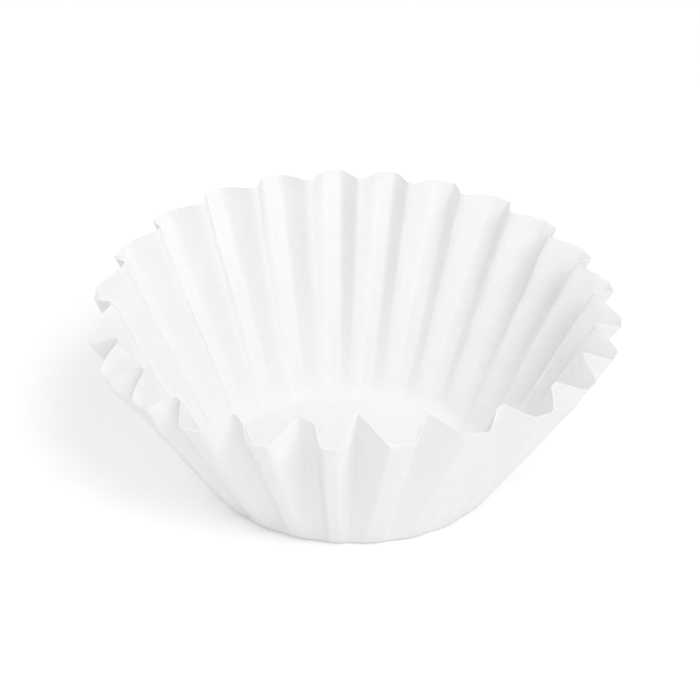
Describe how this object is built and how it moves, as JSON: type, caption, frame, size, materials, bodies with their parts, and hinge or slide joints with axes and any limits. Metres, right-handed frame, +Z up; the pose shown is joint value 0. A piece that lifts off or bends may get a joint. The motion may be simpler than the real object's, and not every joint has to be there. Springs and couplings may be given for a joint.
{
  "type": "paper coffee filter",
  "caption": "White fluted paper basket filter: one round sheet pressed into a flat-bottomed flaring cup, which holds ground coffee while water drips through.",
  "frame": {"origin": "centre of the base's underside, on the surface that it stands on", "axes": "+Z up through the open mouth; -Y towards the viewer of the picture, +X to that viewer's right"},
  "size_m": [0.1536, 0.1308, 0.068],
  "materials": {
    "white_paper": "bleached creped filter paper, matt, with a fine fibrous grain"
  },
  "bodies": {
    "root": {"filter_paper": "white_paper"}
  },
  "joints": []
}
